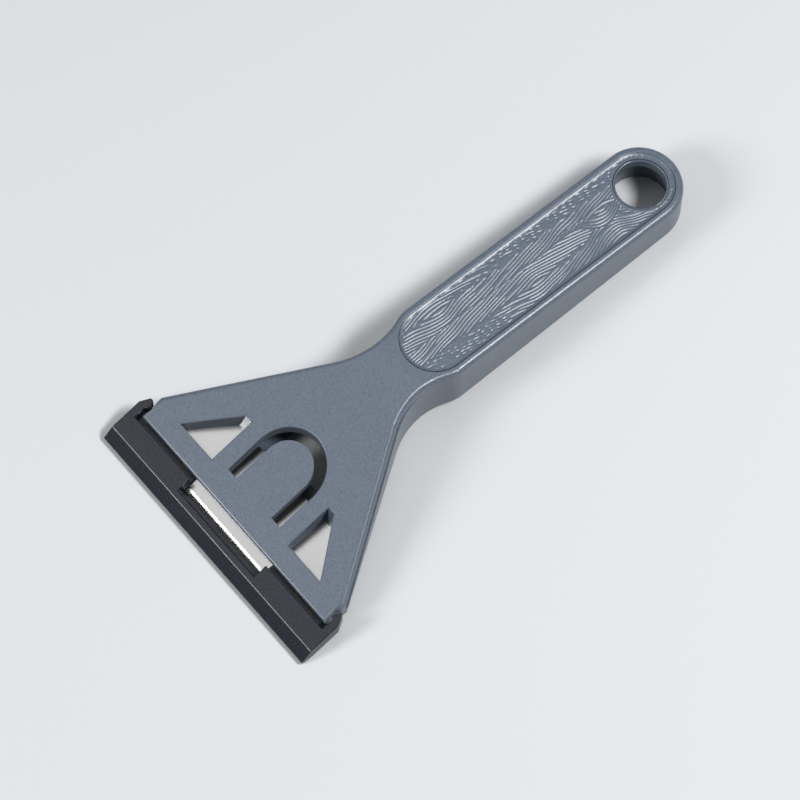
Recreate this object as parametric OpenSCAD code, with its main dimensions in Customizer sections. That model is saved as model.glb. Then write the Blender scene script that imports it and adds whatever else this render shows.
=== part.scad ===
// Glass and hob scraper: a bent two-shell plastic body with a wide head, a steel
// blade on a sloping bed, a spring tongue over the blade, a push-on blade guard
// and a decorative panel let into the handle.
// Millimetres. +X runs from the blade to the handle's end, +Y is across, +Z is up.
// The origin is on the surface the scraper lies on, at the middle of its length.

/* [Body] */
// Height of the head's front top edge above the resting surface
front_edge_h = 6.88; // [6.6:0.01:7.2]
// Slope of the head's top face, down towards the blade, in degrees
head_tilt = 16.7; // [15.5:0.1:17.2]
// Slope of the handle's top face, down towards its end, in degrees
handle_tilt = 4.9; // [4:0.1:6.5]
// Radius of the bend between the two top faces
bend_r = 44; // [30:1:44]
// Thickness of the upper shell
plate_t = 3.85; // [3.4:0.05:4.1]
// Rounding of the top edge all round the body
top_edge_r = 1.5; // [0.8:0.1:2]
// Rounding of the bottom edge
bottom_edge_r = 0.5; // [0.3:0.1:0.8]
// Wall thickness of the lower shell
wall_t = 2; // [1.6:0.1:2.6]
// Floor thickness of the lower shell
floor_t = 2; // [1.5:0.1:2.6]
// How high the underside lies at the bend, so that only the two ends touch
arch_h = 2.2; // [1:0.1:3]
// Height of the underside at the head's front edge
front_foot_h = 0.7; // [0.4:0.1:0.9]

/* [Head] */
// Half the width of the head at its front corners
head_half_w = 39.4; // [39.1:0.1:44]
// Distance from the bend to the head's front edge
head_len = 54.4; // [53:0.1:56]
// Angle of the head's sides to the long axis, in degrees
side_angle = 33.3; // [30:0.1:35]
// Rounding of the head's front edge
front_edge_r = 1; // [0.5:0.1:1.4]
// Thickness of the lip that closes the front over the blade
front_lip_t = 3; // [2.2:0.1:3.4]
// How far the lower shell's rim stands out beside the head
rim_out = 0.5; // [0.3:0.05:0.6]
// Height of that rim
rim_h = 0.9; // [0.6:0.1:1.2]
// How far the skirt below the rim stands out
skirt_out = 0.2; // [0:0.05:0.3]
// Radius of the hollow at each front corner, where the guard's hook lies
notch_r = 3.2; // [3:0.1:3.4]
// Depth of that hollow
notch_d = 0.9; // [0.7:0.05:1]
// Distance from the head's front edge to the hollow's middle
notch_setback = 3.7; // [3.5:0.1:4]
// How far the corner in front of the hollow is set in, so the hook passes it
corner_in = 0.3; // [0.2:0.05:0.4]

/* [Neck and handle] */
// Half the width of the neck at its narrowest
neck_half_w = 9.5; // [8:0.1:10]
// Distance of the narrowest place behind the bend
neck_x = 5.5; // [4:0.1:6]
// Radius of the hollow in each side of the neck
neck_r = 23; // [20:0.5:28]
// Radius of the shoulder where the handle begins
shoulder_r = 9.2; // [6:0.1:11]
// Half the width of the handle
handle_half_w = 12; // [11.4:0.1:13.5]
// Distance from the bend to the centre of the hanging hole
hole_x = 93.8; // [85:0.1:110]
// Radius of the hanging hole
hole_r = 7.25; // [5:0.05:7.4]
// Width of the collar round the hanging hole
collar_w = 0.65; // [0.5:0.05:1]
// Extra radius of the hole below the upper shell
hole_relief = 1.6; // [0.8:0.1:2]

/* [Windows and tongue] */
// Distance from the head's front edge to the two windows
window_setback = 6.5; // [5.5:0.1:8]
// Length of the windows
window_len = 14.4; // [12:0.1:16]
// Distance of a window's inner side from the middle
window_inner = 16.35; // [15:0.05:18]
// Distance of a window's front corner from the middle
window_outer = 29.9; // [27:0.1:31]
// Distance of a window's rear corner from the middle
window_rear_outer = 18.6; // [18.2:0.1:20]
// Lean of a window's rear side, forwards at the bottom, in degrees
window_lean = 13; // [0:1:16]
// Thickness of the rim that each window carries down to the blade
window_rim_t = 1.2; // [0.8:0.1:1.5]
// Half the width of the tongue
tongue_half_w = 7.5; // [6:0.1:8]
// Width of the slot round the tongue
slot_w = 3.5; // [2.5:0.1:4]
// Distance from the head's front edge to the tongue's root
tongue_setback = 7.95; // [7:0.05:9]
// Length of the tongue
tongue_len = 19.25; // [16:0.05:21]
// Thickness of the tongue
tongue_t = 2.6; // [2:0.1:3]
// Radius of the pad under the tongue
pad_r = 4; // [2:0.1:5]

/* [Blade] */
// Slope of the blade, in degrees
blade_tilt = 10; // [8:0.5:11]
// How far the blade stands out of the head
blade_out = 3.3; // [2.6:0.1:3.8]
// Height of the cutting edge above the resting surface
blade_edge_h = 1.25; // [1.15:0.05:1.4]
// Depth of the blade from edge to back
blade_depth = 23.2; // [21:0.1:24]
// Thickness of the blade
blade_t = 0.5; // [0.3:0.05:0.6]
// Half the length of the cutting edge
blade_half_w = 37.6; // [36:0.1:37.6]
// Length of the blade's straight ends, before they are cut off aslant
blade_straight = 11; // [9:0.5:12]
// Angle at which the ends are cut off, in degrees
blade_cut_angle = 31.5; // [30:0.5:36]
// Depth of the ground bevel
bevel_d = 1.3; // [0.8:0.1:2]
// Thickness left at the cutting edge
edge_t = 0.08; // [0.05:0.01:0.15]
// Distance of the two locating pegs from the middle
peg_y = 13.7; // [13.4:0.1:14]
// Distance of the pegs in front of the blade's back edge
peg_inset = 3.7; // [3:0.1:5]
// Radius of the locating pegs
peg_r = 1.9; // [1.5:0.1:2]

/* [Blade guard] */
// Gap between the guard's rear face and the head
guard_gap = 1.4; // [1:0.1:2]
// Gap between the guard's arms and the head's sides
arm_gap = 0.7; // [0.6:0.05:1]
// Length of the guard's top, from its rear face to its ridge
guard_top_len = 6.15; // [5.9:0.05:7]
// Length of the guard's slanting front
guard_front_len = 3.3; // [3:0.05:4]
// Height of the nose
guard_nose_h = 1.6; // [1.4:0.1:2]
// How far the guard's top stands above the head's top face
guard_proud = 0.3; // [0:0.1:0.6]
// Thickness of the guard's arms
guard_t = 4.9; // [4.6:0.1:5.1]
// Half the length of the window in the guard
guard_window_half = 16.3; // [10:0.1:20]
// Thickness of the floor under the cutting edge
guard_floor_t = 1; // [0.8:0.05:1.05]
// Width of a guard arm
arm_w = 2.55; // [2:0.05:3]
// Reach of a guard arm behind the guard's rear face
arm_len = 6.6; // [6:0.1:7]
// Radius of the round hook at an arm's tip
hook_r = 1.2; // [1:0.1:1.3]
// Free space ahead of the cutting edge
edge_room = 0.8; // [0.6:0.1:0.9]
// Thickness of the guard's front wall beside its window, at the ridge
guard_wall_t = 1.8; // [1.6:0.1:2]

/* [Handle panel] */
// Half the width of the recess for the panel
panel_half_w = 9.75; // [9.2:0.05:9.9]
// Distance from the bend to the panel's front end
panel_front = 8.45; // [8.4:0.05:14]
// Depth of the recess
recess_d = 1.2; // [0.9:0.1:1.6]
// How far the panel and the collar round the hole lie below the handle's top
panel_sink = 0.3; // [0.1:0.05:0.5]

/* [Finger opening] */
// Length of the opening in the floor, through which a finger lifts the tongue
finger_len = 14; // [12:0.5:15]
// How far it reaches under the tongue's tip
finger_under = 3.8; // [3:0.1:5]
// How far it is wider than the tongue on each side
finger_side = 1.5; // [0.5:0.1:2]
// Rounding of its corners
finger_corner_r = 3; // [2:0.5:4]

/* [Pins and fits] */
// Radius of the pins that join the shells
pin_r = 1.8; // [1.2:0.1:2]
// Height of the pins
pin_h = 1.8; // [1:0.1:1.9]
// Distance of the two pins in front of the bend
neck_pin_setback = 15; // [13:0.5:17]
// Distance of these two pins from the middle
neck_pin_y = 10; // [9:0.5:10.5]
// Radius of the bosses that carry the pins
boss_r = 3.4; // [2.6:0.1:3.6]
// Thickness of the cross ribs
rib_t = 1.2; // [0.8:0.1:1.6]
// Gap between the blade and what it slides in
blade_gap = 0.1; // [0.05:0.01:0.15]
// Gap round pieces that fit into a recess or a socket
fit_gap = 0.1; // [0.05:0.01:0.15]
// Gap between the guard's hooks and the head's corners
hook_gap = 0.15; // [0.1:0.05:0.3]

/* [Hidden] */
$fn = 96;
body_colour = [0.45, 0.50, 0.56];
panel_colour = [0.50, 0.54, 0.61];
steel_colour = [0.82, 0.82, 0.82];
guard_colour = [0.17, 0.18, 0.21];
// Larger than any part of the object
far = 250;

// How far a blank or a cutter runs past the face that it makes
spare = 1;

// Height of the bend between head and handle above the resting surface
bend_h = front_edge_h + head_len * tan(head_tilt);

// Places in the head, as distances from the bend, and the guard's half width
window_front = head_len - window_setback;
window_rear = window_front - window_len;
tongue_root = head_len - tongue_setback;
tongue_arc = tongue_root - tongue_len + tongue_half_w;
blade_edge = head_len + blade_out;
guard_rear = head_len + guard_gap;
guard_ridge = guard_rear + guard_top_len;
guard_nose = guard_ridge + guard_front_len;
guard_half_w = head_half_w + arm_gap + arm_w;

// The middle of the whole length goes to X = 0
handle_end = hole_x + handle_half_w;
mid_x = (handle_end - guard_nose) / 2;

// Plan outline: the shoulder and the neck are two arcs that touch
neck_turn = acos(1 - (handle_half_w - neck_half_w) / (neck_r + shoulder_r));
shoulder_x = neck_x + (neck_r + shoulder_r) * sin(neck_turn);
rim_shift = rim_out / sin(side_angle);
skirt_shift = skirt_out / sin(side_angle);

// Roof line: two sloping planes and the arc that joins them
half_bend = (head_tilt + handle_tilt) / 2;
roof_lean = (handle_tilt - head_tilt) / 2;
roof_c = [0, bend_h] - bend_r / cos(half_bend) * [sin(roof_lean), cos(roof_lean)];

notch_x = notch_setback - head_len;

// Places of the shells' pins and ribs, as shares of the distance to the hanging hole
handle_pins = hole_x * [0.277, 0.554, 0.81];
rib_places = hole_x * [0.416, 0.682];
// How deep pins and pegs are rooted in the lower shell
pin_root = 1;
peg_root = 0.5;
// The lower shell's hollow starts just in front of the blade's back edge
blade_overhang = 0.3;
cavity_front = blade_depth * cos(blade_tilt) - blade_edge - blade_overhang;
// Slope under the rim beside the head
rim_undercut = 0.15;
finger_front = tongue_len - tongue_root - finger_under;
finger_rear = finger_front + finger_len;
finger_half_w = tongue_half_w + finger_side;
// How far the blade's bed runs on in front of the cutting edge
bed_front = -10;

// Tips of the guard's arms: hook's place, slope in front of it, flat end and chamfer
hook_setback = 1.9;
hook_slope = 1.5;
tip_flat = 0.9;
tip_lean = 0.1;
tip_chamfer = 3;
// Broken corner under the guard's nose
nose_foot = [[0.25, 0.3], [0.65, 0]];

// Height of the top face at x, lowered by e at right angles to the face
function roof(x, e = 0) =
    x < roof_c.x - (bend_r - e) * sin(head_tilt) ?
        bend_h + (x * sin(head_tilt) - e) / cos(head_tilt) :
    x > roof_c.x + (bend_r - e) * sin(handle_tilt) ?
        bend_h - (x * sin(handle_tilt) + e) / cos(handle_tilt) :
        roof_c.y + sqrt(pow(bend_r - e, 2) - pow(x - roof_c.x, 2));

// Height of the underside at x
function underside(x) =
    x < 0 ? arch_h + (front_foot_h - arch_h) * x / -head_len : arch_h * (1 - x / handle_end);

function arc_points(c, r, a0, a1, n) =
    [for (i = [0:n]) c + r * [cos(a0 + (a1 - a0) * i / n), sin(a0 + (a1 - a0) * i / n)]];

// One side of the plan outline, set in by d, from the handle's end to the front.
// The head's half moves back by shift, which widens its slanting sides only.
function side_points(d, shift) =
    let (neck_c = [neck_x, neck_half_w + neck_r])
    let (touch = neck_c - (neck_r + d) * [sin(side_angle), cos(side_angle)])
    let (corner_x = touch.x - (head_half_w - d - touch.y) / tan(side_angle))
    concat(
        arc_points([hole_x, 0], handle_half_w - d, 0, 90, 14),
        arc_points([shoulder_x, handle_half_w - shoulder_r], shoulder_r - d, 90, 90 + neck_turn, 5),
        [for (i = [1:16])
            let (a = 270 + neck_turn - (neck_turn + side_angle) * i / 16)
            neck_c + (neck_r + d) * [cos(a), sin(a)] + [a < 270 ? shift : 0, 0]],
        [[corner_x + shift, head_half_w - d], [-head_len - spare / 2, head_half_w - d]]
    );

function outline(d = 0, shift = 0) =
    let (p = side_points(d, shift))
    concat(p, [for (i = [len(p) - 1:-1:1]) [p[i].x, -p[i].y]]);

function roof_ring(d, shift, e) = [for (p = outline(d, shift)) [p.x, p.y, roof(p.x, e)]];
function floor_ring(d, shift, e) = [for (p = outline(d, shift)) [p.x, p.y, underside(p.x) + e]];

// A closed skin through rings of equal length, listed from the bottom up
module skin(rings) {
    n = len(rings[0]);
    m = (n - 1) / 2;
    top = (len(rings) - 1) * n;
    sides = [for (k = [0:len(rings) - 2], i = [0:n - 1])
        let (a = k * n + i, b = k * n + (i + 1) % n)
        each [[a, a + n, b + n], [a, b + n, b]]];
    bottom_cap = [for (i = [1:m - 1]) [i, i + 1, n - i - 1, n - i]];
    top_cap = [for (q = bottom_cap) [for (k = [3:-1:0]) top + q[k]]];
    polyhedron(
        points = [for (r = rings) each r],
        faces = concat(sides, [[0, 1, n - 1], [top, top + n - 1, top + 1]], bottom_cap, top_cap)
    );
}

// A side view, drawn in X and Z, made w wide across the object
module across(w) {
    rotate([90, 0, 0]) linear_extrude(w, center = true) children();
}

// Everything below the top face lowered by e
module under_roof(e) {
    r = bend_r - e;
    a = roof_c + r * [-sin(head_tilt), cos(head_tilt)];
    b = roof_c + r * [sin(handle_tilt), cos(handle_tilt)];
    across(far) {
        polygon([[-far, -far], [-far, roof(-far, e)], a, b, [far, roof(far, e)], [far, -far]]);
        intersection() {
            translate(roof_c) circle(r, $fn = 200);
            polygon([a - [0, spare], a, [(a.x + b.x) / 2, a.y + b.y], b, b - [0, spare]]);
        }
    }
}

// The blade's own frame: X from its edge to its back, Z out of its upper face
module in_blade_frame() {
    translate([-blade_edge, 0, blade_edge_h]) rotate([0, -blade_tilt, 0]) children();
}

// Everything above the blade's upper face and a gap
module above_blade(gap) {
    in_blade_frame() translate([-far / 2, -far / 2, blade_t + gap]) cube(far);
}

// Blade outline, grown by g: straight in front, cut off along the head's sides behind
module blade_plan(g, front) {
    back_half_w = blade_half_w - (blade_depth - blade_straight) * tan(blade_cut_angle);
    side = [
        [front, blade_half_w + g],
        [blade_straight - g / 2, blade_half_w + g],
        [blade_depth + g, back_half_w + g]
    ];
    polygon(concat(side, [for (i = [2:-1:0]) [side[i].x, -side[i].y]]));
}

// Window outline, grown by g, and drawn past its rear side by over
module window_plan(g, over = 0) {
    run = window_front - window_rear;
    slope = (window_outer - window_rear_outer) / run;
    lift = g * sqrt(1 + slope * slope);
    back = g + over;
    polygon([
        [-window_front - g, window_inner - g],
        [-window_front - g, window_outer + lift + g * slope],
        [-window_rear + back, window_rear_outer + lift - back * slope],
        [-window_rear + back, window_inner - g]
    ]);
}

// Hole of a window, with its rear side leaning forwards towards the bottom
module window_hole() {
    intersection() {
        linear_extrude(far) window_plan(0, 1);
        translate([-window_rear, 0, roof(-window_rear)]) rotate([0, window_lean, 0])
            translate([-far, 0, -far / 2]) cube(far);
    }
}

// A U-shaped end on straight sides, from the tongue's root backwards
module tongue_plan(half_w) {
    translate([-tongue_root, -half_w]) square([tongue_root - tongue_arc, 2 * half_w]);
    translate([-tongue_arc, 0]) circle(half_w);
}

// Panel outline, set in by g
module panel_plan(g) {
    front_c = panel_front + panel_half_w;
    translate([front_c, g - panel_half_w]) square([hole_x - front_c, 2 * (panel_half_w - g)]);
    for (x = [front_c, hole_x]) translate([x, 0]) circle(panel_half_w - g);
}

module both_sides() {
    children();
    mirror([0, 1, 0]) children();
}

// The rounded hollow at each front corner, where the guard's hook lies
module corner_notches() {
    both_sides() {
        translate([notch_x, head_half_w - notch_d + notch_r, -far / 2]) cylinder(h = far, r = notch_r);
        translate([-head_len - spare, head_half_w - corner_in, -far / 2])
            cube([spare + notch_setback, notch_r, far]);
    }
}

// The head's own frame: origin on its front top edge, X along its top face, Z up from it
module in_head_frame() {
    translate([-head_len, 0, roof(-head_len)]) rotate([0, -head_tilt, 0]) children();
}

// What lies in front of the head's front face, which is square to the top face
module ahead_of_head() {
    in_head_frame() translate([-far, -far / 2, -far / 2]) cube(far);
}

// The sliver that rounds the head's front top edge
module front_rounding() {
    in_head_frame() across(far) difference() {
        translate([-spare, -front_edge_r]) square(spare + front_edge_r);
        translate([front_edge_r, -front_edge_r]) circle(front_edge_r);
    }
}

// Top half of the body: face plate of the head and handle in one piece
module upper_shell() {
    color(body_colour) difference() {
        union() {
            difference() {
                skin(concat(
                    [roof_ring(0, 0, plate_t + spare), roof_ring(0, 0, top_edge_r)],
                    [for (a = [22.5:22.5:90])
                        roof_ring(top_edge_r * (1 - cos(a)), 0, top_edge_r * (1 - sin(a)))]
                ));
                under_roof(plate_t);
            }
            // Lip at the front and rims of the windows, down to the blade
            intersection() {
                under_roof(plate_t - spare);
                above_blade(blade_gap);
                union() {
                    translate([-head_len, -blade_half_w + fit_gap, 0])
                        cube([front_lip_t, 2 * (blade_half_w - fit_gap), bend_h]);
                    both_sides() linear_extrude(bend_h) window_plan(window_rim_t);
                }
            }
        }
        both_sides() window_hole();
        linear_extrude(far) tongue_plan(tongue_half_w + slot_w);
        corner_notches();
        ahead_of_head();
        front_rounding();
        below_blade_top();
        // Recess for the panel, leaving the collar round the hole
        difference() {
            linear_extrude(far) panel_plan(0);
            under_roof(recess_d);
            cylinder_at_hole(hole_r + collar_w);
        }
        difference() {
            cylinder_at_hole(hole_r + collar_w + fit_gap);
            under_roof(panel_sink);
        }
        cylinder_at_hole(hole_r);
        for (p = pin_places()) translate([p.x, p.y, 0])
            cylinder(h = roof(p.x, plate_t) + pin_h + 2 * fit_gap, r = pin_r + fit_gap / 2);
    }
}

module cylinder_at_hole(r) {
    translate([hole_x, 0, -far / 2]) cylinder(h = far, r = r);
}

function pin_places() = concat(
    [for (x = handle_pins) [x, 0]],
    [for (side = [1, -1]) [-neck_pin_setback, side * neck_pin_y]]
);

// Bottom half of the body: skirt, blade bed with its pegs, and the handle's box
module lower_shell() {
    color(body_colour) difference() {
        union() {
            difference() {
                intersection() {
                    lower_block();
                    under_roof(plate_t);
                }
                ahead_of_head();
                blade_pocket();
                rear_cavity();
                cylinder_at_hole(hole_r + hole_relief);
                finger_opening();
            }
            for (p = pin_places()) {
                base = roof(p.x, plate_t) - pin_root;
                translate([p.x, p.y, base]) cylinder(h = pin_h + pin_root, r = pin_r);
            }
            both_sides() in_blade_frame() translate([blade_depth - peg_inset, peg_y, -peg_root])
                cylinder(h = peg_root + blade_t, r = peg_r);
        }
        corner_notches();
    }
}

// Outer shape of the lower shell, with its rim beside the head
module lower_block() {
    skin([
        floor_ring(bottom_edge_r, skirt_shift, 0),
        floor_ring(bottom_edge_r * 0.3, skirt_shift, bottom_edge_r * 0.3),
        floor_ring(0, skirt_shift, bottom_edge_r),
        roof_ring(0, skirt_shift, plate_t + rim_h + rim_undercut),
        roof_ring(0, rim_shift, plate_t + rim_h),
        roof_ring(0, rim_shift, plate_t - spare)
    ]);
}

// Room for the blade and for what reaches down to it
module blade_pocket() {
    in_blade_frame() translate([0, 0, -blade_gap / 2]) linear_extrude(far) blade_plan(fit_gap, bed_front);
}

// What the upper shell leaves free below the blade's upper face
module below_blade_top() {
    in_blade_frame() translate([0, 0, blade_t + blade_gap - far])
        linear_extrude(far) blade_plan(fit_gap, bed_front);
}

// Hollow behind the blade and through the handle, with ribs and pin bosses left
module rear_cavity() {
    difference() {
        intersection() {
            linear_extrude(far) polygon(outline(wall_t));
            across(far) polygon([
                [cavity_front, underside(cavity_front) + floor_t],
                [0, underside(0) + floor_t],
                [hole_x, underside(hole_x) + floor_t],
                [hole_x, far],
                [cavity_front - far * tan(blade_tilt), far]
            ]);
        }
        cylinder_at_hole(hole_r + hole_relief + wall_t);
        for (p = pin_places()) translate([p.x, p.y, 0]) cylinder(h = far, r = boss_r);
        for (x = rib_places) translate([x - rib_t / 2, -far / 2, 0]) cube([rib_t, far, far]);
    }
}

// Opening in the floor, through which a finger lifts the tongue
module finger_opening() {
    r = finger_corner_r;
    translate([finger_front + r, -finger_half_w, 0])
        cube([finger_rear - finger_front - 2 * r, 2 * finger_half_w, arch_h + 2 * floor_t]);
    translate([finger_front, r - finger_half_w, 0])
        cube([finger_rear - finger_front, 2 * (finger_half_w - r), arch_h + 2 * floor_t]);
    for (x = [finger_front + r, finger_rear - r], y = [r - finger_half_w, finger_half_w - r])
        translate([x, y, 0]) cylinder(h = arch_h + 2 * floor_t, r = r);
}

// Spring tongue cut out of the upper shell, with the pad that holds the blade down
module release_tongue() {
    color(body_colour) {
        difference() {
            intersection() {
                linear_extrude(far) tongue_plan(tongue_half_w);
                under_roof(0);
            }
            under_roof(tongue_t);
        }
        intersection() {
            translate([-(tongue_root + tongue_arc) / 2, 0, 0]) cylinder(h = bend_h, r = pad_r);
            under_roof(tongue_t / 2);
            above_blade(blade_gap);
        }
    }
}

// Steel blade, ground on its upper side, with two slots open to the back
module blade() {
    color(steel_colour) in_blade_frame() difference() {
        linear_extrude(blade_t) blade_plan(0, 0);
        across(far) polygon([
            [-spare, edge_t], [0, edge_t], [bevel_d, blade_t],
            [bevel_d, blade_t + spare], [-spare, blade_t + spare]
        ]);
        both_sides() {
            translate([blade_depth - peg_inset, peg_y, -spare])
                cylinder(h = blade_t + 2 * spare, r = peg_r + fit_gap);
            translate([blade_depth - peg_inset, peg_y - peg_r - fit_gap, -spare])
                cube([peg_inset + spare, 2 * (peg_r + fit_gap), blade_t + 2 * spare]);
        }
    }
}

// Push-on cover of the cutting edge, with an arm and hook at each end
module blade_guard() {
    under_x = (guard_t - guard_proud) / sin(head_tilt) - bend_h / tan(head_tilt);
    front = -blade_edge - edge_room;
    rise = tan(blade_tilt);
    roof_h = blade_edge_h + blade_t / cos(blade_tilt) + 1.5 * blade_gap;
    color(guard_colour) difference() {
        intersection() {
            across(far) polygon([
                [-guard_ridge, roof(-guard_ridge, -guard_proud)],
                [-guard_nose, guard_nose_h],
                for (p = nose_foot) [p.x - guard_nose, p.y],
                [under_x, 0],
                [0, roof(-far, guard_t - guard_proud) + far * tan(head_tilt)],
                [0, roof(-far, -guard_proud) + far * tan(head_tilt)]
            ]);
            linear_extrude(far, center = true) guard_plan();
        }
        // Room for the blade: level floor, ceiling along the blade
        across(2 * (blade_half_w + 3 * fit_gap)) polygon([
            [front, guard_floor_t],
            [0, guard_floor_t],
            [0, roof_h - rise * front],
            [front, roof_h]
        ]);
        // Window through which the edge shows, open to the rear
        translate([guard_wall_t - guard_ridge, -guard_window_half, guard_floor_t])
            cube([far, 2 * guard_window_half, far]);
    }
}

module guard_plan() {
    rear = -guard_rear;
    tip = rear + arm_len;
    inner = guard_half_w - arm_w;
    hook_x = tip - hook_setback;
    hook_y = head_half_w - corner_in + hook_gap + hook_r;
    translate([-guard_nose - spare, -guard_half_w])
        square([guard_nose - guard_rear + spare, 2 * guard_half_w]);
    for (s = [1, -1]) scale([1, s]) {
        polygon([
            [rear - spare, inner],
            [hook_x - hook_slope, inner],
            [hook_x, hook_y],
            [tip, inner],
            [tip - tip_lean, inner + tip_flat],
            [tip - tip_chamfer, guard_half_w],
            [rear - spare, guard_half_w]
        ]);
        translate([hook_x, hook_y]) circle(hook_r);
    }
}

// Decorative panel let into the handle's top
module handle_panel() {
    color(panel_colour) difference() {
        intersection() {
            linear_extrude(far) panel_plan(fit_gap);
            under_roof(panel_sink);
        }
        under_roof(recess_d);
        cylinder_at_hole(hole_r + collar_w + fit_gap);
    }
}

module placed() {
    translate([-mid_x, 0, 0]) children();
}

placed() upper_shell();
placed() lower_shell();
placed() release_tongue();
placed() blade();
placed() blade_guard();
placed() handle_panel();
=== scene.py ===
import math

import bmesh
import bpy
import numpy as np
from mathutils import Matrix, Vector


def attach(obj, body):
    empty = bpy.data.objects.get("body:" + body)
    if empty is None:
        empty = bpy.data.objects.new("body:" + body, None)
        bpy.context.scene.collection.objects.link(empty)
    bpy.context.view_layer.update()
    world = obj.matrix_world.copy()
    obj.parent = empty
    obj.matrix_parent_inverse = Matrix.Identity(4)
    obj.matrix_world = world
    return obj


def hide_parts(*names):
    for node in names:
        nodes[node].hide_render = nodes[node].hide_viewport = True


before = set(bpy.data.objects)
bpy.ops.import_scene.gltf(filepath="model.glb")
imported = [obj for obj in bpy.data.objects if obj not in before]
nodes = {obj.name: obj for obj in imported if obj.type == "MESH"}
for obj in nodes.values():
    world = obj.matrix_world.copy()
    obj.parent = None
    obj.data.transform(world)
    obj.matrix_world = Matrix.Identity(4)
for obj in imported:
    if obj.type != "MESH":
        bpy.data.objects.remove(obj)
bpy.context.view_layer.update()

# ------------------------------------------------------------------ The view
# A long lens looks down on the scraper from beside its head, as in the
# photograph. Its height and turn were found from the scraper's own outline.
look_at = Vector((-0.015745, -0.00153, 0.0008))
view_height = math.radians(69.385)
view_turn = math.radians(40.287)
view_distance = 1.2705
lens_data = bpy.data.cameras.new("camera")
lens_data.sensor_width = 36
lens_data.lens = 206.4
lens_data.clip_end = 20
camera = bpy.data.objects.new("camera", lens_data)
sight = Vector((
    -math.cos(view_height) * math.sin(view_turn),
    -math.cos(view_height) * math.cos(view_turn),
    math.sin(view_height),
))
camera.location = look_at + view_distance * sight
camera.rotation_euler = sight.to_track_quat("Z", "Y").to_euler()
bpy.context.scene.collection.objects.link(camera)
bpy.context.scene.camera = camera

# ------------------------------------------------------------------ The studio
# A small strong softbox beside the handle draws the bright lines along its
# edges, a long one overhead lights the flats, and one in front the head's nose.
# The floor is a sheet of pale paper.
bpy.context.scene.view_settings.view_transform = "Standard"
studio = bpy.data.worlds.new("studio")
bpy.context.scene.world = studio
studio.use_nodes = True
surround = studio.node_tree.nodes["Background"].inputs
surround["Color"].default_value = (0.88, 0.94, 1, 1)
surround["Strength"].default_value = 0.15


def softbox(name, towards, distance, size, power):
    """A rectangular light that faces the scraper, with the first side of its size level."""
    data = bpy.data.lights.new(name, "AREA")
    data.shape = "RECTANGLE"
    data.size, data.size_y = size
    data.energy = power
    lamp = bpy.data.objects.new(name, data)
    direction = Vector(towards).normalized()
    lamp.location = direction * distance
    lamp.rotation_euler = direction.to_track_quat("Z", "Y").to_euler()
    bpy.context.scene.collection.objects.link(lamp)


softbox("key_light", towards=(0.37, -0.43, 0.84), distance=1.2, size=(0.4, 0.22), power=15.5)
softbox("top_light", towards=(0.0, 0.27, 0.93), distance=1.2, size=(1.1, 0.5), power=2)
softbox("front_light", towards=(-0.75, 0.27, 0.60), distance=1.1, size=(0.3, 0.42), power=7)

paper_half_side = 3
ground = bmesh.new()
bmesh.ops.create_grid(ground, x_segments=1, y_segments=1, size=paper_half_side)
floor_mesh = bpy.data.meshes.new("floor")
ground.to_mesh(floor_mesh)
ground.free()
floor = bpy.data.objects.new("floor", floor_mesh)
bpy.context.scene.collection.objects.link(floor)
paper = bpy.data.materials.new("pale_paper")
paper.use_nodes = True
paper_shader = paper.node_tree.nodes["Principled BSDF"]
paper_shader.inputs["Base Color"].default_value = (0.52, 0.53, 0.54, 1)
paper_shader.inputs["Roughness"].default_value = 0.85
floor_mesh.materials.append(paper)

# ------------------------------------------------------------------ Upper shell
# The face plate of head and handle, one moulding in slate-blue plastic, with
# the windows, the tongue's slot, the panel's recess and the hanging hole. Its
# mould was spark-eroded, which leaves fine pits, and its edges are slightly broken.


def add_node(tree, kind, **settings):
    """A new node: a name that starts with _ is a socket, any other a property."""
    made = tree.nodes.new(kind)
    for key, value in settings.items():
        if key.startswith("_"):
            made.inputs[key[1:].replace("_", " ")].default_value = value
        else:
            setattr(made, key, value)
    return made


fine_pit_rate = 3.1
fine_pit_share = 0.45
mould_grain = bpy.data.node_groups.new("mould_grain", "ShaderNodeTree")
mould_grain.interface.new_socket("Vector", in_out="INPUT", socket_type="NodeSocketVector")
mould_grain.interface.new_socket("Pits per metre", in_out="INPUT", socket_type="NodeSocketFloat")
mould_grain.interface.new_socket("Height", in_out="OUTPUT", socket_type="NodeSocketFloat")
group_in = add_node(mould_grain, "NodeGroupInput")
group_out = add_node(mould_grain, "NodeGroupOutput")
pits = add_node(mould_grain, "ShaderNodeTexNoise", _Detail=2.0, _Roughness=0.55)
fine_scale = add_node(mould_grain, "ShaderNodeMath", operation="MULTIPLY")
fine_scale.inputs[1].default_value = fine_pit_rate
fine_pits = add_node(mould_grain, "ShaderNodeTexNoise", _Detail=1.0)
both_pits = add_node(mould_grain, "ShaderNodeMath", operation="MULTIPLY_ADD")
both_pits.inputs[1].default_value = fine_pit_share
mould_grain.links.new(group_in.outputs["Vector"], pits.inputs["Vector"])
mould_grain.links.new(group_in.outputs["Vector"], fine_pits.inputs["Vector"])
mould_grain.links.new(group_in.outputs["Pits per metre"], pits.inputs["Scale"])
mould_grain.links.new(group_in.outputs["Pits per metre"], fine_scale.inputs[0])
mould_grain.links.new(fine_scale.outputs[0], fine_pits.inputs["Scale"])
mould_grain.links.new(fine_pits.outputs["Fac"], both_pits.inputs[0])
mould_grain.links.new(pits.outputs["Fac"], both_pits.inputs[2])
mould_grain.links.new(both_pits.outputs[0], group_out.inputs["Height"])


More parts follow.
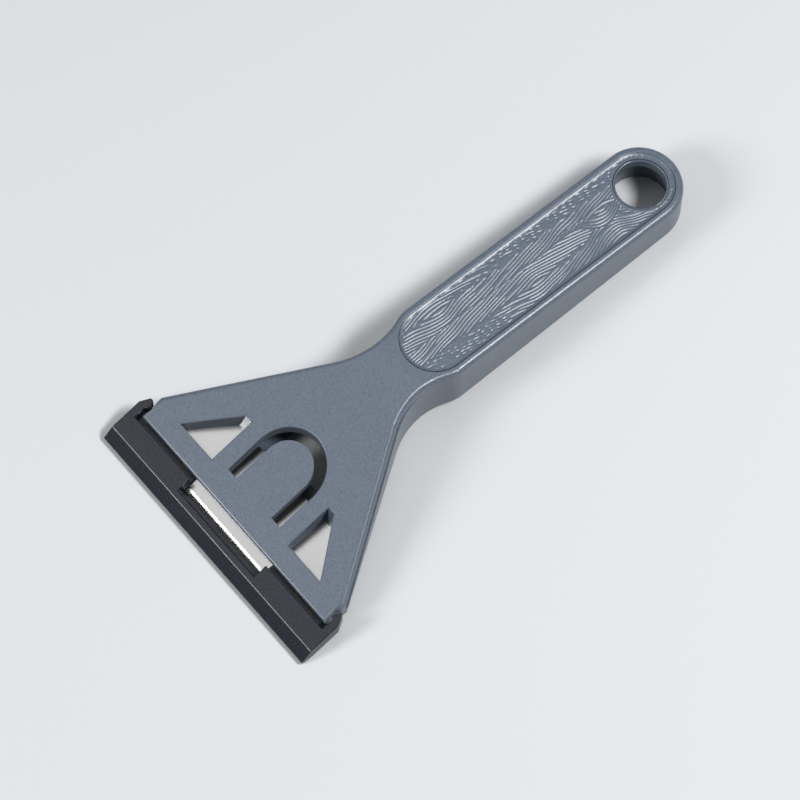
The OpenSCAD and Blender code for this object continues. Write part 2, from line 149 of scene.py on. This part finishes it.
def plastic(name, dark, light, rough, pits_per_metre, pit_depth):
    """A moulded plastic, glossier in the pits that its mould left, with painted shade that
    darkens the pits.
    """
    made = bpy.data.materials.new(name)
    made.use_nodes = True
    tree = made.node_tree
    shader = tree.nodes["Principled BSDF"]
    place = add_node(tree, "ShaderNodeTexCoord")
    grain = add_node(tree, "ShaderNodeGroup", node_tree=mould_grain)
    grain.inputs["Pits per metre"].default_value = pits_per_metre
    # painted shade: the colour darkens where the grain is low, in the pits, in place of their
    # shading
    painted_pit_shade = add_node(tree, "ShaderNodeMapRange", _From_Min=0.5, _From_Max=0.95)
    colour = add_node(tree, "ShaderNodeMix", data_type="RGBA")
    colour.inputs[6].default_value = (*dark, 1)
    colour.inputs[7].default_value = (*light, 1)
    dulling = add_node(tree, "ShaderNodeMapRange", _From_Min=0.3, _From_Max=0.9)
    dulling.inputs["To Min"].default_value, dulling.inputs["To Max"].default_value = rough
    bump = add_node(tree, "ShaderNodeBump", _Strength=1.0, _Distance=pit_depth)
    tree.links.new(place.outputs["Object"], grain.inputs["Vector"])
    tree.links.new(grain.outputs["Height"], painted_pit_shade.inputs["Value"])
    tree.links.new(painted_pit_shade.outputs["Result"], colour.inputs[0])
    tree.links.new(colour.outputs[2], shader.inputs["Base Color"])
    tree.links.new(grain.outputs["Height"], dulling.inputs["Value"])
    tree.links.new(dulling.outputs["Result"], shader.inputs["Roughness"])
    tree.links.new(grain.outputs["Height"], bump.inputs["Height"])
    tree.links.new(bump.outputs["Normal"], shader.inputs["Normal"])
    return made


# the darker colour is painted shade in the mould's pits
slate_dark = (0.070, 0.087, 0.114)
slate_light = (0.112, 0.138, 0.178)
slate_plastic = plastic(
    "slate_blue_plastic", dark=slate_dark, light=slate_light,
    rough=(0.24, 0.34), pits_per_metre=2000, pit_depth=0.000025,
)


def copy_of_solid(node):
    """A solid's mesh, its loose triangles joined and its flat faces made whole."""
    same_place = 2e-6
    still_flat = math.radians(0.6)
    shape = bmesh.new()
    shape.from_mesh(nodes[node].data)
    bmesh.ops.remove_doubles(shape, verts=shape.verts, dist=same_place)
    bmesh.ops.dissolve_limit(
        shape, angle_limit=still_flat, verts=shape.verts, edges=shape.edges
    )
    return shape


def finish_piece(name, shape, body, material, replaced, sharp=35):
    """Makes the object, shades it smooth up to its real edges, and seats it."""
    mesh = bpy.data.meshes.new(name)
    shape.normal_update()
    shape.to_mesh(mesh)
    shape.free()
    mesh.materials.append(material)
    mesh.shade_smooth()
    mesh.set_sharp_from_angle(angle=math.radians(sharp))
    piece = bpy.data.objects.new(name, mesh)
    bpy.context.scene.collection.objects.link(piece)
    flat_faces = piece.modifiers.new("flat_faces", "WEIGHTED_NORMAL")
    flat_faces.keep_sharp = True
    flat_faces.weight = 80
    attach(piece, body)
    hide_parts(replaced)


def soften(shape, edges, radius, segments=2):
    """Rounds edges over."""
    bmesh.ops.bevel(
        shape, geom=edges, offset=radius, offset_type="OFFSET", segments=segments,
        profile=0.5, affect="EDGES", material=-1, clamp_overlap=False,
    )


def is_outer_corner(edge):
    """Whether two faces meet at the edge and the solid stands out there."""
    return len(edge.link_faces) == 2 and edge.is_convex


def edges_round_top(shape):
    """Edges where the top face meets the wall of an opening."""
    looks_up, leans_sideways, is_wall = 0.95, 0.01, 0.35
    found = []
    for edge in filter(is_outer_corner, shape.edges):
        steepest = min(face.normal.z for face in edge.link_faces)
        tops = [
            face for face in edge.link_faces
            if abs(face.normal.y) < leans_sideways and face.normal.z > looks_up
        ]
        if tops and steepest < is_wall:
            found.append(edge)
    return found


# the tongue grows out of the plate here, so no edge is broken
tongue_root = min(vert.co.x for vert in nodes["release_tongue"].data.vertices)
root_width = 0.0003
shell = copy_of_solid("upper_shell")
shell_rims = [
    edge for edge in edges_round_top(shell)
    if any(abs(vert.co.x - tongue_root) > root_width for vert in edge.verts)
]
soften(shell, shell_rims, radius=0.00035, segments=3)
finish_piece(
    "upper_shell_moulding", shell, "body", slate_plastic, "upper_shell"
)

# ------------------------------------------------------------------ Lower shell
# The skirt, the blade's bed and the handle's box, moulded in the same plastic.
# Its walls carry the upper shell, and bosses in it take the upper shell's pins.
box = copy_of_solid("lower_shell")
finish_piece(
    "lower_shell_moulding", box, "body", slate_plastic, "lower_shell"
)

# ------------------------------------------------------------------ Release tongue
# A springy tongue, moulded in one with the face plate and free on three sides.
# The pad under it holds the blade down until a finger lifts the tongue from below.
past_the_root = tongue_root + 1e-5
tongue = copy_of_solid("release_tongue")
tongue_rims = [
    edge for edge in edges_round_top(tongue)
    if max(vert.co.x for vert in edge.verts) > past_the_root
]
soften(tongue, tongue_rims, radius=0.00022)
finish_piece(
    "release_tongue_moulding", tongue, "tongue", slate_plastic, "release_tongue"
)

# ------------------------------------------------------------------ Blade
# Stainless steel strip, rolled lengthwise, with one long edge ground from above.
# The rolls leave streaks along it, and it hangs on two pegs of the bed.
streaks_per_metre = (5000, 90, 5000)
steel = bpy.data.materials.new("ground_steel")
steel.use_nodes = True
steel_nodes = steel.node_tree
steel_shader = steel_nodes.nodes["Principled BSDF"]
steel_shader.inputs["Metallic"].default_value = 1.0
steel_place = add_node(steel_nodes, "ShaderNodeTexCoord")
along_the_blade = add_node(steel_nodes, "ShaderNodeMapping", _Scale=streaks_per_metre)
streaks = add_node(steel_nodes, "ShaderNodeTexNoise", _Scale=1.0, _Detail=3.0)
tone = add_node(steel_nodes, "ShaderNodeMix", data_type="RGBA")
tone.inputs[6].default_value = (0.47, 0.466, 0.46, 1)
tone.inputs[7].default_value = (0.56, 0.556, 0.55, 1)
satin = add_node(steel_nodes, "ShaderNodeMapRange", _To_Min=0.20, _To_Max=0.28)
scratches = add_node(steel_nodes, "ShaderNodeBump", _Strength=1.0, _Distance=0.000001)
steel_nodes.links.new(steel_place.outputs["Object"], along_the_blade.inputs["Vector"])
steel_nodes.links.new(along_the_blade.outputs["Vector"], streaks.inputs["Vector"])
steel_nodes.links.new(streaks.outputs["Fac"], tone.inputs[0])
steel_nodes.links.new(streaks.outputs["Fac"], satin.inputs["Value"])
steel_nodes.links.new(streaks.outputs["Fac"], scratches.inputs["Height"])
steel_nodes.links.new(tone.outputs[2], steel_shader.inputs["Base Color"])
steel_nodes.links.new(satin.outputs["Result"], steel_shader.inputs["Roughness"])
steel_nodes.links.new(scratches.outputs["Normal"], steel_shader.inputs["Normal"])
strip = copy_of_solid("blade")
finish_piece("steel_blade", strip, "blade", steel, "blade", sharp=15)

# ------------------------------------------------------------------ Blade guard
# A black clip-on cover, moulded in a smoother plastic, with a window over the
# cutting edge. Each arm ends in a hook past the head's corner. A low black block
# under each arm fills the gap to the head, put there as painted shadow of that deep gap.
black_plastic = plastic(
    "black_plastic", dark=(0.004, 0.006, 0.011), light=(0.008, 0.011, 0.020),
    rough=(0.22, 0.32), pits_per_metre=2200, pit_depth=0.000015,
)
least_fold = math.radians(14)
gap_shadow_block_size = Vector((0.0028, 0.0212, 0.0009))
gap_shadow_block_middle = Vector((-0.0752, 0.0271, 0.00295))
guard = copy_of_solid("blade_guard")
guard_edges = [
    edge for edge in guard.edges
    if is_outer_corner(edge) and edge.calc_face_angle() > least_fold
]
soften(guard, guard_edges, radius=0.00022)
# painted shadow: a black block under each arm stands in for the shadow in the gap
for side in (-1, 1):
    gap_shadow_block = bmesh.ops.create_cube(guard, size=1)["verts"]
    bmesh.ops.scale(guard, verts=gap_shadow_block, vec=gap_shadow_block_size)
    bmesh.ops.translate(guard, verts=gap_shadow_block, vec=(gap_shadow_block_middle.x, side * gap_shadow_block_middle.y, gap_shadow_block_middle.z))
finish_piece(
    "blade_guard_moulding", guard, "guard", black_plastic, "blade_guard"
)

# ------------------------------------------------------------------ Handle panel
# A thin plastic panel, let into the handle a little below its face, with a raised
# rim. Its mould was engraved with wood grain: wavy lines round knots, broken into
# strokes, with rows of short dashes along the edges.

# the bend between head and handle, in metres, and how steeply the handle falls
bend_x, bend_z = -0.020275, 0.0232008
handle_slope = math.radians(4.9)
# all else on the panel is in mm: along the handle from the bend, and across it
panel_radius, hole_radius = 9.65, 8.0
front_middle, hole_middle = 18.2, 93.8
panel_bottom = 1.15
sink = 0.3
rim_width, rim_rise = 0.6, 0.24
line_pitch, line_depth = 0.86, 0.24
plain_edge, line_run_out = 0.45, 0.3
cell = 0.18


def ripple(seed, along, across, length=(1, 1), waves=8):
    """Gentle irregular waves of a length along and across, the same at every run."""
    full_turn, slowest, fastest = 6.283, 0.5, 1.7
    pick = np.random.default_rng(seed)
    along, across = along / length[0], across / length[1]
    total = 0
    for _ in range(waves):
        turn, rate, start = pick.uniform((0, slowest, 0), (full_turn, fastest, full_turn))
        total = total + np.sin(rate * (np.cos(turn) * along + np.sin(turn) * across) + start)
    return total / math.sqrt(waves / 2)


def rounded(distance, radius):
    """The size of a distance, with a rounded bottom in place of the sharp one at 0."""
    return np.hypot(distance, radius) - radius


def share(value, over=1):
    """How far a value has risen from 0 to over, between 0 and 1."""
    return np.clip(value / over, 0, 1)


def wood_lines(along, across, step):
    """Depth of the engraved lines, 0 to 1, over a grid of places on the panel."""
    first_knot, second_knot = (24.5, -5.9), (51.5, 4.5)
    small_knot, edge_knot = (79.5, -1.1), (79.5, 9.3)
    sway_along, sway_across = 0.5, 0.13
    wavy_along = along + sway_along * ripple(1, along, across, length=(2.5, 1.5))
    wavy_across = across + sway_across * ripple(2, along, across, length=(3.0, 2.0))

    # how far each place is from each knot: the lines are rings of even distance,
    # drawn out to a point along the handle, and they fan out round the hole
    eye_radius = 0.35
    big_taper, big_tip = 0.2, 0.6
    small_bow, small_taper, small_tip = 0.02, 0.55, 0.8
    edge_front_taper, edge_rear_taper, edge_tip = 0.33, 0.5, 1.0
    fan_lines, fan_twist = 9, 0.9
    past_first, off_first = wavy_along - first_knot[0], wavy_across - first_knot[1]
    past_second, off_second = wavy_along - second_knot[0], wavy_across - second_knot[1]
    past_small, off_small = wavy_along - small_knot[0], wavy_across - small_knot[1]
    past_edge, off_edge = wavy_along - edge_knot[0], wavy_across - edge_knot[1]
    from_first = rounded(off_first, eye_radius) + rounded(big_taper * past_first, big_tip)
    from_second = rounded(off_second, eye_radius) + rounded(big_taper * past_second, big_tip)
    from_small = rounded(off_small, eye_radius) + np.where(
        wavy_across < small_knot[1],
        small_bow * past_small ** 2,
        rounded(small_taper * past_small, small_tip),
    )
    from_edge = rounded(off_edge, eye_radius) + np.where(
        wavy_along < edge_knot[0],
        rounded(edge_front_taper * past_edge, edge_tip),
        rounded(edge_rear_taper * past_edge, edge_tip),
    )
    from_hole = np.hypot(along - hole_middle, across)
    round_hole = fan_lines * np.arctan2(across, along - hole_middle) + fan_twist * from_hole

    # each place belongs to one knot or the hole, and margin is how far in it lies
    first, second, small, edge, hole = range(5)
    second_border, small_border, hole_border = -0.9, -2.3, 93.0
    edge_border, edge_border_slope, edge_border_length = (56, 8.9), 0.33, 1.05
    small_reach, small_room, far_away = 4.4, 9, 99
    into_second = wavy_across - second_border
    into_edge = (
        wavy_across - edge_border[1] + edge_border_slope * (wavy_along - edge_border[0])
    ) / edge_border_length
    into_small = np.minimum(small_reach - from_small, wavy_across - small_border)
    into_hole = along - hole_border
    owner = np.where(into_second < 0, first, second)
    margin = np.abs(into_second)
    margin = np.where(owner == second, np.minimum(margin, np.abs(into_edge)), margin)
    owner = np.where(into_edge > 0, edge, owner)
    margin = np.where(owner == edge, np.abs(into_edge), margin)
    near_small = np.abs(along - small_knot[0]) < small_room
    margin = np.minimum(margin, np.where(near_small, np.abs(into_small), far_away))
    owner = np.where(into_small > 0, small, owner)
    margin = np.where(owner == small, into_small, margin)
    owner = np.where(into_hole > 0, hole, owner)
    margin = np.minimum(np.where(owner == hole, far_away, margin), np.abs(into_hole))

    # how far each place is from the middle of the nearest line
    fewest, most = 0.8, 1.6
    rings = np.choose(
        owner, [from_first, from_second, from_small, from_edge, round_hole]
    ) / line_pitch
    ring = np.round(rings - 0.5)
    rate_along, rate_across = np.gradient(rings, step)
    rings_per_mm = np.clip(np.hypot(rate_along, rate_across), fewest, most)
    off_line = np.abs(rings - ring - 0.5) / rings_per_mm

    # where lines are only short dashes: along two edges, and on a knot's axis outside it
    first_eye, second_eye = (7, 1.5), (8, 1.5)
    axis_half_width, off_axis = 0.9, 9
    near_dashes, near_slant, near_start, near_end = 4.4, 0.03, 10, 42
    far_dashes, far_start = -6.2, 38
    in_first = np.hypot(past_first / first_eye[0], off_first / first_eye[1]) < 1
    in_second = np.hypot(past_second / second_eye[0], off_second / second_eye[1]) < 1
    no_axis = off_axis + 0 * along
    from_axis = np.choose(owner, [
        np.abs(off_first) + off_axis * in_first,
        np.abs(off_second) + off_axis * in_second,
        no_axis, no_axis, no_axis,
    ])
    past_near = across - near_dashes - near_slant * (along - near_start)
    on_near_edge = share(past_near, over=0.8) * share(near_end - along, over=6)
    on_far_edge = share(far_dashes - across, over=0.6) * share(along - far_start, over=5)
    on_axis = share(axis_half_width - from_axis, over=0.4)
    dashed = share(on_near_edge + on_far_edge + on_axis)

    # each line is broken at places of its own, and ends at its knot's border; the
    # shifts are large, so that neighbouring lines and knots don't break alike
    stroke_length, dash_length, end_length = 2.6, 0.45, 0.3
    line_shift, knot_shift, dash_shift = (37.7, 91.3), (3.1, 2.0), (11.1, 31.3)
    wholeness, dashed_loss, eye_gain, abruptness = 1.9, 0.7, 1.5, 1.6
    dash_gap, dash_change = 0.45, 0.5
    line_half_width, widening = 0.19, 0.08
    long_gaps = ripple(
        3,
        along / stroke_length + line_shift[0] * ring + knot_shift[0] * owner,
        line_shift[1] * ring + knot_shift[1] * owner,
    )
    short_gaps = ripple(4, along / dash_length + dash_shift[0] * ring, dash_shift[1] * ring)
    in_eye = in_first | in_second
    cut = share((long_gaps + wholeness - dashed_loss * dashed + eye_gain * in_eye) * abruptness)
    cut = cut * (1 - dashed * share(dash_gap - dash_change * short_gaps))
    cut = cut * share(margin, over=end_length)
    return cut * np.exp(-(off_line / (line_half_width + widening * cut)) ** 2)


def outline_gap(along, across):
    """Distance inwards from the panel's outline."""
    nearest_middle = np.clip(along, front_middle, hole_middle)
    return panel_radius - np.hypot(along - nearest_middle, across)


def hole_gap(along, across):
    """Distance outwards from the panel's hole."""
    return np.hypot(along - hole_middle, across) - hole_radius


def place_on_handle(along, across, depth):
    """A place on the panel, in the scene: depth is below the handle's face."""
    return Vector((
        along / 1000 + bend_x,
        across / 1000,
        bend_z - along / 1000 * math.tan(handle_slope) - depth / 1000,
    ))


def along_and_across(point):
    """Where a point of the scene lies on the panel."""
    return (point.x - bend_x) * 1000, point.y * 1000


front, rear = front_middle - panel_radius, hole_middle + panel_radius
columns = round((rear - front) / cell)
rows = round(2 * panel_radius / cell)
panel = bmesh.new()
bmesh.ops.create_grid(panel, x_segments=columns, y_segments=rows, size=0.5)
corners = np.array([vert.co for vert in panel.verts])
along = front + (corners[:, 0] + 0.5) * (rear - front)
across = 2 * panel_radius * corners[:, 1]
# the grain is laid out with across counted from the far edge to the near one
in_rows = np.lexsort((across.round(5), along.round(5)))
grid_size = (columns + 1, rows + 1)
lines = np.zeros(len(along))
lines[in_rows] = wood_lines(
    along[in_rows].reshape(grid_size),
    -across[in_rows].reshape(grid_size),
    step=(rear - front) / columns,
).ravel()
edge_gap = np.minimum(outline_gap(along, across), hole_gap(along, across))
rise = rim_rise * share(1 - outline_gap(along, across) / rim_width)
depth = sink - rise + line_depth * lines * share(edge_gap - plain_edge, over=line_run_out)
for vert, *place in zip(panel.verts, along, across, depth):
    vert.co = place_on_handle(*place)

# the cells past the outline or in the hole go, and the border is drawn out to both
outside = []
for face in panel.faces:
    middle = along_and_across(face.calc_center_median())
    if min(outline_gap(*middle), hole_gap(*middle)) < 0:
        outside.append(face)
bmesh.ops.delete(panel, geom=outside, context="FACES")
near_hole = 0.5
for vert in [vert for vert in panel.verts if vert.is_boundary]:
    vert_along, vert_across = along_and_across(vert.co)
    if hole_gap(vert_along, vert_across) < near_hole:
        centre, radius, vert_depth = hole_middle, hole_radius, sink
    else:
        centre = min(max(vert_along, front_middle), hole_middle)
        radius, vert_depth = panel_radius, sink - rim_rise
    stretch = radius / math.hypot(vert_along - centre, vert_across)
    vert.co = place_on_handle(
        centre + (vert_along - centre) * stretch, vert_across * stretch, vert_depth
    )

# the sides go down, and the bottom is closed
border = [edge for edge in panel.edges if edge.is_boundary]
sides = bmesh.ops.extrude_edge_only(panel, edges=border)["geom"]
for item in sides:
    if isinstance(item, bmesh.types.BMVert):
        item.co.z = place_on_handle(*along_and_across(item.co), panel_bottom).z
bottom_edges = [
    item for item in sides if isinstance(item, bmesh.types.BMEdge) and item.is_boundary
]
bmesh.ops.triangle_fill(panel, edges=bottom_edges, use_beauty=True, use_dissolve=False)
bmesh.ops.recalc_face_normals(panel, faces=panel.faces)
panel_plastic = plastic(
    "panel_plastic", dark=slate_dark, light=slate_light,
    rough=(0.26, 0.38), pits_per_metre=2600, pit_depth=0.00001,
)
finish_piece(
    "wood_grain_panel", panel, "body", panel_plastic, "handle_panel", sharp=60
)
